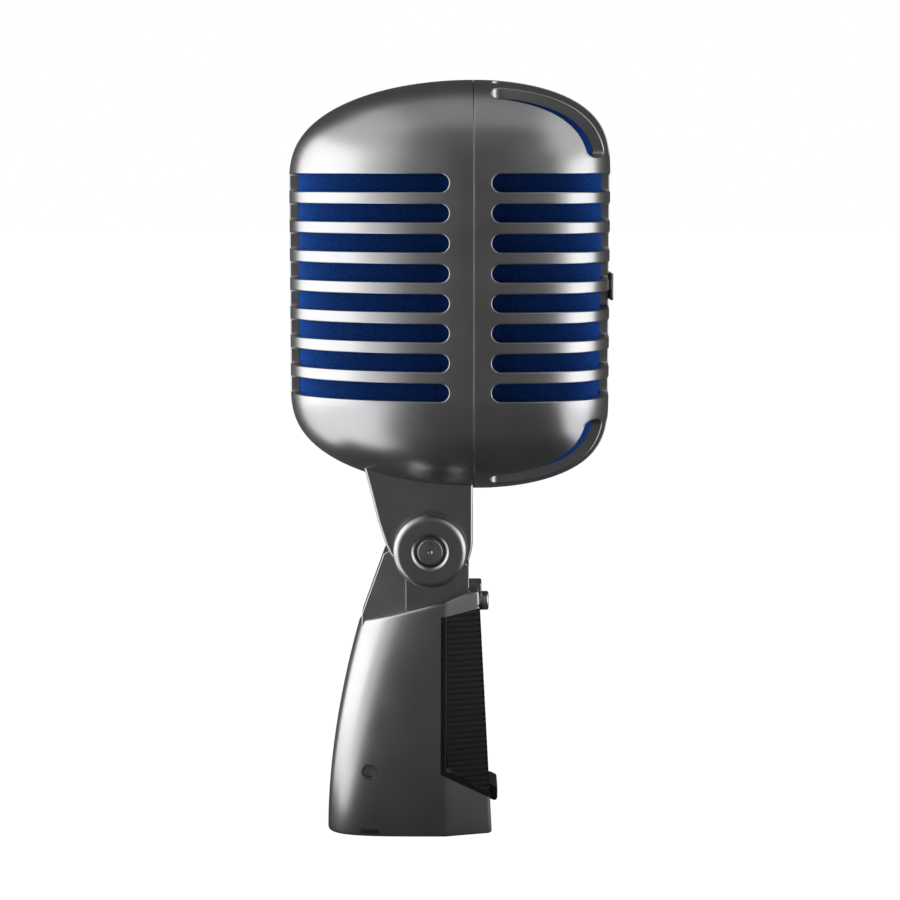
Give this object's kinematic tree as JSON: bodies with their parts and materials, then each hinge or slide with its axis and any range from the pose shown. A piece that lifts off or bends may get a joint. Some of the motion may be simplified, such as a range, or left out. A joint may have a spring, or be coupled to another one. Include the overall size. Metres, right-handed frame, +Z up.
{
  "type": "microphone",
  "caption": "Stand-mount stage microphone: slotted dark chrome head with blue foam, tilting on a swivel base with a ribbed front panel, stand thread and cable socket.",
  "frame": {"origin": "on the stand thread's axis, in the plane of the base's flat bottom", "axes": "+Z up along the stand thread's axis, +X towards the front of the microphone, +Y to its left"},
  "size_m": [0.0798, 0.056, 0.1879],
  "materials": {
    "dark_chrome": "satin dark chrome plating over die-cast zinc",
    "turned_steel": "turned steel",
    "blue_foam": "open-cell foam, matt blue",
    "black_panel": "ribbed black plastic",
    "black_plastic": "moulded black plastic",
    "green_board": "printed circuit board",
    "transformer_iron": "lacquered can",
    "magnet_metal": "ground steel",
    "clear_film": "thin polyester film",
    "black_rubber": "moulded rubber",
    "lead_sheath": "soft sheath",
    "brass_insert": "machined brass",
    "contact_metal": "plated contacts"
  },
  "bodies": {
    "base": {"base_body": "dark_chrome", "front_panel": "black_panel", "panel_frame": "dark_chrome", "panel_screw": "turned_steel", "thread_bushing": "brass_insert", "connector_insert": "black_plastic", "contact_pin_1": "contact_metal", "contact_pin_2": "contact_metal", "contact_pin_3": "contact_metal", "set_screw": "turned_steel", "base_lead": "lead_sheath", "friction_washers": "black_plastic"},
    "head": {"front_grille": "dark_chrome", "rear_grille": "dark_chrome", "seam_band": "turned_steel", "front_foam": "blue_foam", "rear_foam": "blue_foam", "name_plate": "dark_chrome", "capsule_housing": "turned_steel", "magnet_yoke": "magnet_metal", "magnet": "magnet_metal", "pole_piece": "magnet_metal", "yoke_plate": "magnet_metal", "diaphragm_ring": "black_plastic", "capsule_cap": "black_plastic", "shock_mount": "black_rubber", "chassis": "turned_steel", "chassis_screws": "turned_steel", "transformer": "transformer_iron", "terminal_board": "green_board", "head_lead": "lead_sheath", "fork": "dark_chrome", "spring_washers": "turned_steel", "left_disc": "dark_chrome", "right_disc": "dark_chrome", "pivot_bolt": "turned_steel", "pivot_nut": "turned_steel"},
    "diaphragm": {"diaphragm": "clear_film"}
  },
  "joints": [
    {"name": "head_tilt", "type": "hinge", "parent": "base", "child": "head", "pos_m": [-0.00365, 0, 0.0728], "axis": [0, 1, 0], "range_deg": [-75, 45]},
    {"name": "diaphragm_travel", "type": "slide", "parent": "head", "child": "diaphragm", "axis": [1, 0, 0], "range_m": [-0.00025, 0.00025], "stiffness_N_per_m": 50}
  ]
}
